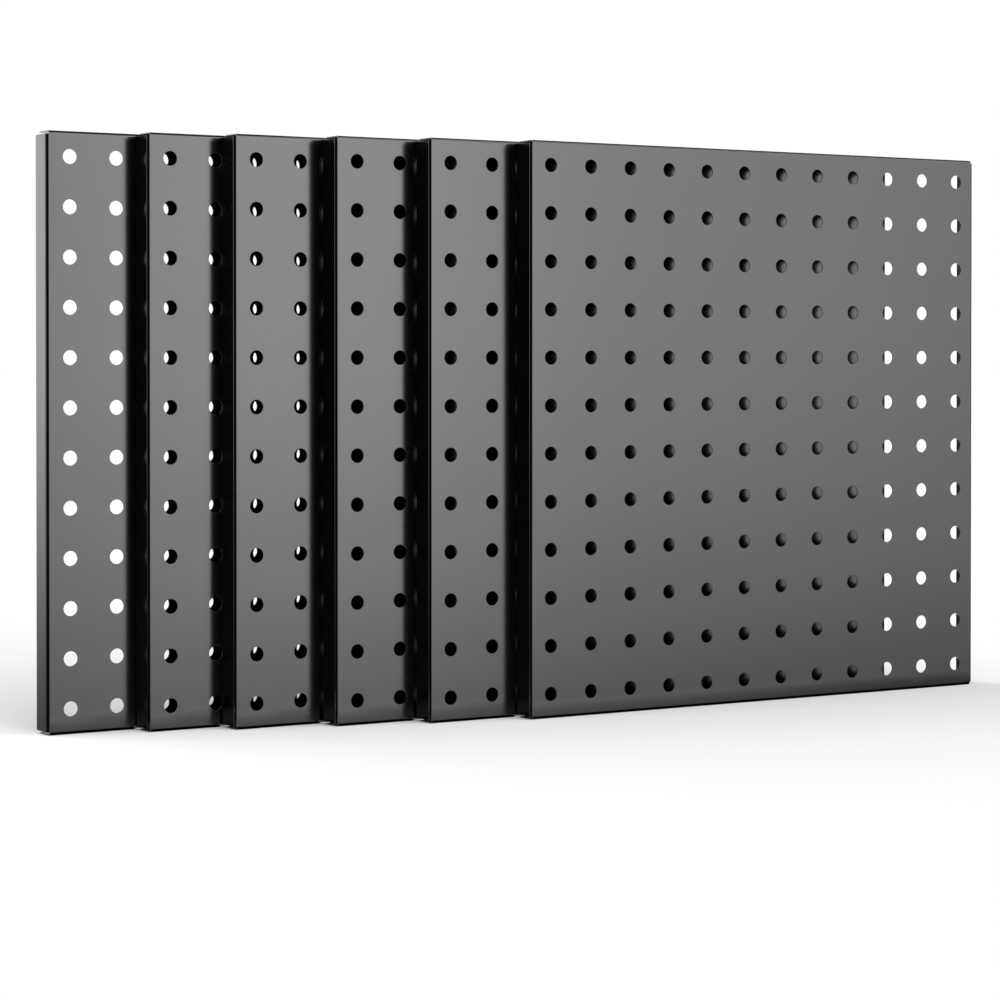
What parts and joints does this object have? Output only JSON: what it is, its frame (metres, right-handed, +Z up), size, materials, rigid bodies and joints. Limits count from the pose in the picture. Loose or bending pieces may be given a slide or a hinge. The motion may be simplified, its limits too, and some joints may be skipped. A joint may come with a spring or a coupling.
{
  "type": "pegboard panel set",
  "caption": "Loose folded steel pegboard panels with a square grid of round peg holes, standing upright in a staggered row; fixed to a wall they hold hooks and hand tools.",
  "frame": {"origin": "on the floor, below the middle of the whole set's box", "axes": "+Z up, X along the faces, and the punched faces look along -Y"},
  "size_m": [0.5458, 0.0888, 0.3052],
  "materials": {
    "black_powder_coat": "black satin powder coat with a fine orange peel"
  },
  "bodies": {
    "rear_panel": {"rear_panel": "black_powder_coat"},
    "second_panel": {"second_panel": "black_powder_coat"},
    "third_panel": {"third_panel": "black_powder_coat"},
    "fourth_panel": {"fourth_panel": "black_powder_coat"},
    "fifth_panel": {"fifth_panel": "black_powder_coat"},
    "front_panel": {"front_panel": "black_powder_coat"}
  },
  "joints": [
    {"name": "rear_panel_lift", "type": "slide", "parent": "front_panel", "child": "rear_panel", "axis": [0, 0, 1], "range_m": [0, 0.32]},
    {"name": "second_panel_lift", "type": "slide", "parent": "front_panel", "child": "second_panel", "axis": [0, 0, 1], "range_m": [0, 0.32]},
    {"name": "third_panel_lift", "type": "slide", "parent": "front_panel", "child": "third_panel", "axis": [0, 0, 1], "range_m": [0, 0.32]},
    {"name": "fourth_panel_lift", "type": "slide", "parent": "front_panel", "child": "fourth_panel", "axis": [0, 0, 1], "range_m": [0, 0.32]},
    {"name": "fifth_panel_lift", "type": "slide", "parent": "front_panel", "child": "fifth_panel", "axis": [0, 0, 1], "range_m": [0, 0.32]}
  ]
}
